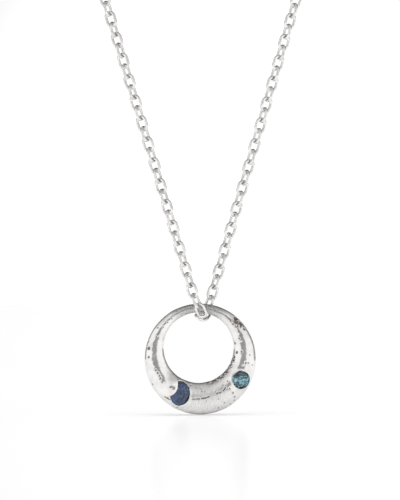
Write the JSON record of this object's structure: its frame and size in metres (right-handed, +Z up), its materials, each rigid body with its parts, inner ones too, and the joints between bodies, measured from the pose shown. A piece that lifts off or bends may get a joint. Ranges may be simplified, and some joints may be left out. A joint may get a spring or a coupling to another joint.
{
  "type": "pendant necklace",
  "caption": "Cast open-ring pendant with flush-set oval and round stones, threaded on an oval-link cable chain that closes at the nape with a sprung bolt ring.",
  "frame": {"origin": "middle of the bolt ring, where it lies at the nape", "axes": "+X to the right as seen from the front, -Y out of the pendant's face towards the viewer, +Z up"},
  "size_m": [0.0922, 0.0557, 0.1936],
  "materials": {
    "polished_silver": "polished",
    "cast_silver": "polished, pitted casting",
    "blue_stone": "faceted, polished",
    "teal_stone": "faceted, polished",
    "spring_steel": "drawn wire"
  },
  "bodies": {
    "neck_chain": {"neck_chain_left": "polished_silver", "neck_chain_right": "polished_silver"},
    "step_01": {"chain_left_01": "polished_silver", "chain_right_01": "polished_silver"},
    "step_02": {"chain_left_02": "polished_silver", "chain_right_02": "polished_silver"},
    "step_03": {"chain_left_03": "polished_silver", "chain_right_03": "polished_silver"},
    "step_04": {"chain_left_04": "polished_silver", "chain_right_04": "polished_silver"},
    "step_05": {"chain_left_05": "polished_silver", "chain_right_05": "polished_silver"},
    "step_06": {"chain_left_06": "polished_silver", "chain_right_06": "polished_silver"},
    "step_07": {"chain_left_07": "polished_silver", "chain_right_07": "polished_silver"},
    "step_08": {"chain_left_08": "polished_silver", "chain_right_08": "polished_silver"},
    "step_09": {"chain_left_09": "polished_silver", "chain_right_09": "polished_silver"},
    "step_10": {"chain_left_10": "polished_silver", "chain_right_10": "polished_silver"},
    "step_11": {"chain_left_11": "polished_silver", "chain_right_11": "polished_silver"},
    "step_12": {"chain_left_12": "polished_silver", "chain_right_12": "polished_silver"},
    "step_13": {"chain_left_13": "polished_silver", "chain_right_13": "polished_silver"},
    "step_14": {"chain_left_14": "polished_silver", "chain_right_14": "polished_silver"},
    "step_15": {"chain_left_15": "polished_silver", "chain_right_15": "polished_silver"},
    "bottom_links": {"left_foot_link": "polished_silver", "front_link": "polished_silver", "under_link": "polished_silver", "back_link": "polished_silver", "right_foot_link": "polished_silver"},
    "pendant": {"pendant_ring": "cast_silver", "left_stone": "blue_stone", "right_stone": "teal_stone"},
    "jump_ring": {"jump_ring": "polished_silver"},
    "clasp_case": {"bolt_ring_case": "polished_silver", "bolt_ring_spring": "spring_steel"},
    "clasp_bolt": {"bolt_ring_bolt": "polished_silver"},
    "end_ring": {"end_ring": "polished_silver"}
  },
  "joints": [
    {"name": "step_hinge_01", "type": "hinge", "parent": "neck_chain", "child": "step_01", "pos_m": [-0.00013, -0.04998, -0.02226], "axis": [0.999, 0.0447, -0.0059], "range_deg": [-12, 12]},
    {"name": "step_hinge_02", "type": "hinge", "parent": "step_01", "child": "step_02", "pos_m": [-0.00013, -0.04998, -0.03166], "axis": [0.9988, 0.0477, -0.0063], "range_deg": [-12, 12]},
    {"name": "step_hinge_03", "type": "hinge", "parent": "step_02", "child": "step_03", "pos_m": [-0.00013, -0.04998, -0.04107], "axis": [0.9987, 0.0512, -0.0068], "range_deg": [-12, 12]},
    {"name": "step_hinge_04", "type": "hinge", "parent": "step_03", "child": "step_04", "pos_m": [-0.00013, -0.04998, -0.05047], "axis": [0.9984, 0.0552, -0.0073], "range_deg": [-12, 12]},
    {"name": "step_hinge_05", "type": "hinge", "parent": "step_04", "child": "step_05", "pos_m": [-0.00013, -0.04998, -0.05988], "axis": [0.9982, 0.0599, -0.0079], "range_deg": [-12, 12]},
    {"name": "step_hinge_06", "type": "hinge", "parent": "step_05", "child": "step_06", "pos_m": [-0.00013, -0.04998, -0.06929], "axis": [0.9978, 0.0655, -0.0087], "range_deg": [-12, 12]},
    {"name": "step_hinge_07", "type": "hinge", "parent": "step_06", "child": "step_07", "pos_m": [-0.00013, -0.04998, -0.07869], "axis": [0.9973, 0.0722, -0.0096], "range_deg": [-12, 12]},
    {"name": "step_hinge_08", "type": "hinge", "parent": "step_07", "child": "step_08", "pos_m": [-0.00013, -0.04998, -0.0881], "axis": [0.9967, 0.0804, -0.0106], "range_deg": [-12, 12]},
    {"name": "step_hinge_09", "type": "hinge", "parent": "step_08", "child": "step_09", "pos_m": [-0.00013, -0.04998, -0.0975], "axis": [0.9958, 0.0907, -0.012], "range_deg": [-12, 12]},
    {"name": "step_hinge_10", "type": "hinge", "parent": "step_09", "child": "step_10", "pos_m": [-0.00013, -0.04998, -0.10691], "axis": [0.9945, 0.1041, -0.0138], "range_deg": [-12, 12]},
    {"name": "step_hinge_11", "type": "hinge", "parent": "step_10", "child": "step_11", "pos_m": [-0.00013, -0.04998, -0.11632], "axis": [0.9924, 0.122, -0.0162], "range_deg": [-12, 12]},
    {"name": "step_hinge_12", "type": "hinge", "parent": "step_11", "child": "step_12", "pos_m": [-0.00013, -0.04998, -0.12572], "axis": [0.9889, 0.1474, -0.0195], "range_deg": [-12, 12]},
    {"name": "step_hinge_13", "type": "hinge", "parent": "step_12", "child": "step_13", "pos_m": [-0.00013, -0.04998, -0.13513], "axis": [0.9823, 0.1857, -0.0246], "range_deg": [-12, 12]},
    {"name": "step_hinge_14", "type": "hinge", "parent": "step_13", "child": "step_14", "pos_m": [-0.00013, -0.04998, -0.14454], "axis": [0.9676, 0.2502, -0.0331], "range_deg": [-12, 12]},
    {"name": "step_hinge_15", "type": "hinge", "parent": "step_14", "child": "step_15", "pos_m": [-0.00013, -0.04998, -0.15394], "axis": [0.9244, 0.3781, -0.05], "range_deg": [-12, 12]},
    {"name": "bottom_hinge", "type": "hinge", "parent": "step_15", "child": "bottom_links", "pos_m": [-0.00013, -0.04998, -0.16335], "axis": [0.712, 0.6961, -0.0921], "range_deg": [-12, 12]},
    {"name": "pendant_rock", "type": "hinge", "parent": "bottom_links", "child": "pendant", "pos_m": [-0.00135, -0.05, -0.16692], "axis": [0, 1, 0], "range_deg": [-10, 10]},
    {"name": "jump_ring_roll", "type": "hinge", "parent": "neck_chain", "child": "jump_ring", "pos_m": [-0.00615, 0, 0], "axis": [1, 0, 0], "range_deg": [-20, 20]},
    {"name": "clasp_roll", "type": "hinge", "parent": "neck_chain", "child": "clasp_case", "pos_m": [0, 0, 0], "axis": [1, 0, 0], "range_deg": [-20, 20]},
    {"name": "bolt_slide_back", "type": "hinge", "parent": "clasp_case", "child": "clasp_bolt", "pos_m": [0, 0, 0], "axis": [0, -1, 0], "range_deg": [0, 60], "stiffness_Nm_per_rad": 0.0015, "springref_deg": -17.19, "deforming": ["bolt_ring_spring"]},
    {"name": "end_ring_roll", "type": "hinge", "parent": "neck_chain", "child": "end_ring", "pos_m": [0.00367, 0, 0], "axis": [1, 0, 0], "range_deg": [-20, 20]}
  ]
}
